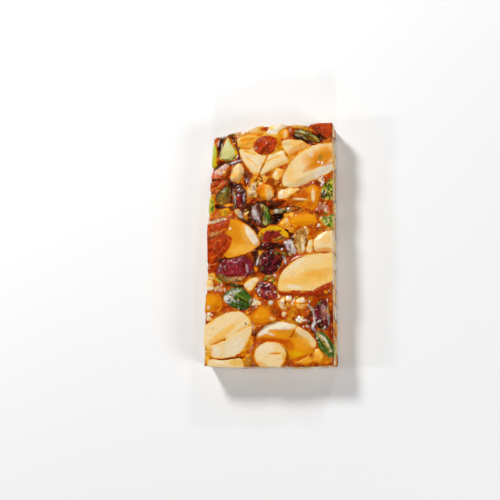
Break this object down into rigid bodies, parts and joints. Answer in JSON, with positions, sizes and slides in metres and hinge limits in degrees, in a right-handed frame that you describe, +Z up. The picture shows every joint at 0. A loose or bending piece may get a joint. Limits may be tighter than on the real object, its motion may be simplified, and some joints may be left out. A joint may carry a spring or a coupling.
{
  "type": "dry fruit gajak bar",
  "caption": "Flat rectangular brittle bar: almonds, cashews and pistachios set level in glossy amber sugar, cut clean on all sides.",
  "frame": {"origin": "middle of the face that the bar lies on, at the centre of its outline", "axes": "+Y along the bar towards the end with the raised nuts, +X across it, +Z up out of the face with the nuts"},
  "size_m": [0.046, 0.086, 0.0105],
  "materials": {
    "amber_sugar": "clear glossy boiled sugar, golden where thin and dark brown where deep",
    "nut_flesh": "pale cream cut nut with a thin wet glaze",
    "nut_glazed": "nut under a golden film of sugar, glossy",
    "almond_skin": "wrinkled red-brown almond skin under a thin glaze",
    "pistachio_skin": "dark purple-red pistachio skin, wet gloss",
    "pistachio_flesh": "green pistachio flesh, from bright to olive, thin glaze"
  },
  "bodies": {
    "root": {"sugar_slab": "amber_sugar", "almond_skin_left": "almond_skin", "almond_gold_left": "nut_glazed", "almond_half_right": "nut_flesh", "almond_half_upper": "nut_flesh", "cashew_big_foot": "nut_flesh", "cashew_round_foot": "nut_flesh", "cashew_half_foot": "nut_flesh", "pistachio_purple_left": "pistachio_skin", "pistachio_green_foot": "pistachio_flesh", "pistachio_fan": "pistachio_flesh", "pistachio_edge_head": "pistachio_flesh", "almond_amber_head": "nut_glazed", "cashew_tan_head": "nut_flesh", "cashew_white_head": "nut_flesh", "almond_amber_chip_head": "nut_glazed", "almond_skin_head": "almond_skin", "cashew_block_left": "nut_flesh", "cashew_block_middle": "nut_flesh", "almond_mauve_left": "almond_skin", "cashew_pointed_left": "nut_flesh", "almond_skin_strip_left": "almond_skin", "pistachio_olive_left": "pistachio_flesh", "almond_mustard_left": "nut_glazed", "pistachio_maroon_upper": "pistachio_skin", "pistachio_green_middle": "pistachio_flesh", "cashew_chip_upper": "nut_flesh", "cashew_chip_middle": "nut_flesh", "cashew_chip_right": "nut_flesh", "cashew_wedge_upper": "nut_flesh", "almond_tan_upper": "nut_glazed", "pistachio_olive_head": "pistachio_flesh", "almond_skin_corner": "almond_skin", "pistachio_edge_right": "pistachio_flesh", "almond_amber_right": "nut_glazed", "almond_shard_right": "nut_flesh", "cashew_slab_right": "nut_flesh", "cashew_chip_edge_right": "nut_flesh", "pistachio_yellow_middle": "pistachio_flesh", "pistachio_maroon_middle": "pistachio_skin", "pistachio_purple_lower": "pistachio_skin", "cashew_chip_lower": "nut_flesh", "cashew_edge_left": "nut_flesh", "almond_amber_edge_left": "nut_glazed", "almond_amber_foot": "nut_glazed", "cashew_crushed_left": "nut_flesh", "cashew_crushed_right": "nut_flesh", "pistachio_purple_right": "pistachio_skin", "pistachio_green_corner": "pistachio_flesh", "almond_chip_foot_right": "nut_glazed", "cashew_strip_foot_left": "nut_flesh", "cashew_grey_left": "nut_flesh", "pistachio_strip_upper": "pistachio_flesh", "almond_glazed_upper": "nut_glazed", "pistachio_chip_right": "pistachio_flesh", "pistachio_crumbs_left": "pistachio_flesh", "cashew_strip_head": "nut_flesh"}
  },
  "joints": []
}
